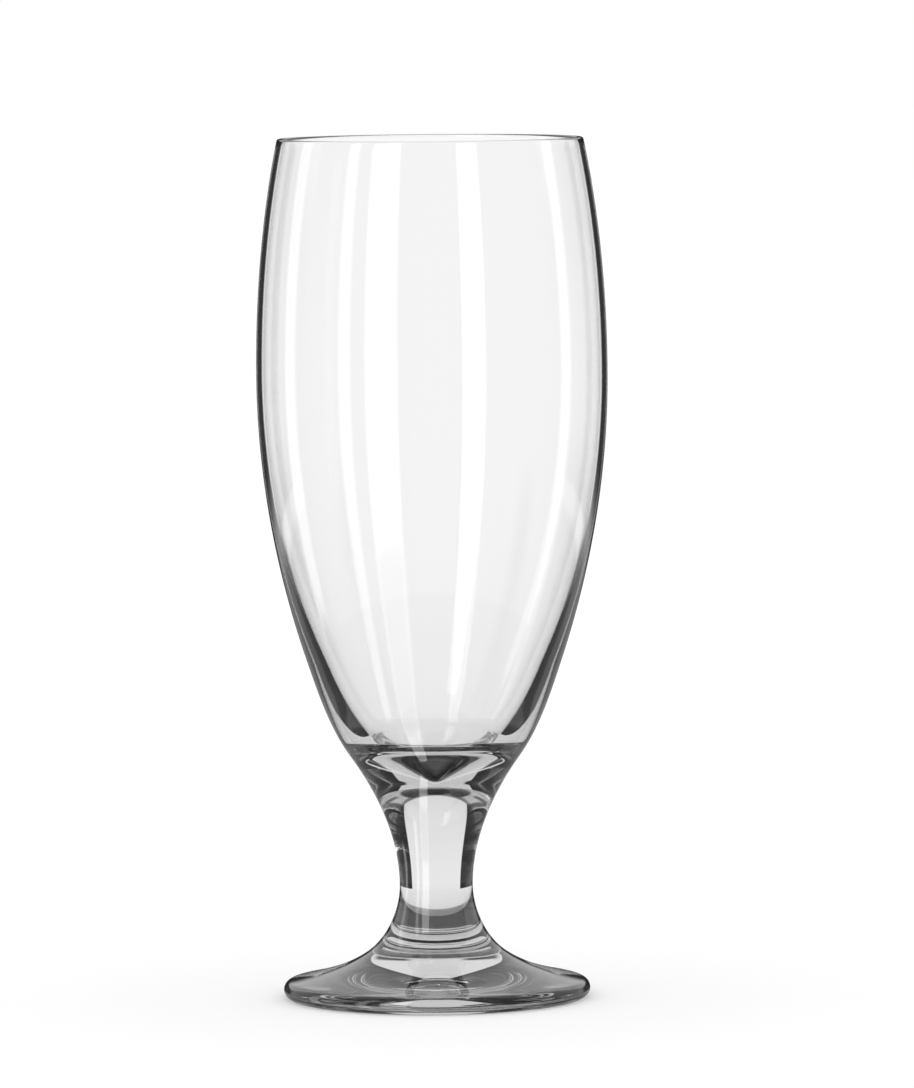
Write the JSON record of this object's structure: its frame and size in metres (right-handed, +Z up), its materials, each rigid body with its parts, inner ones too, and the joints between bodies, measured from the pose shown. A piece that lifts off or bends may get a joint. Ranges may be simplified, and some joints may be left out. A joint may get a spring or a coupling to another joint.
{
  "type": "pilsner glass",
  "caption": "Clear footed pilsner glass with a tall barrel-shaped bowl, a short solid stem and a flared round foot.",
  "frame": {"origin": "centre of the foot's round bearing ring, on the surface the glass stands on", "axes": "+Z up along the glass's axis, from the foot to the rim; the glass is round, so X and Y are free"},
  "size_m": [0.0764, 0.0762, 0.1873],
  "materials": {
    "clear_glass": "smooth clear soda-lime glass, fire-polished"
  },
  "bodies": {
    "root": {"pilsner_glass": "clear_glass"}
  },
  "joints": []
}
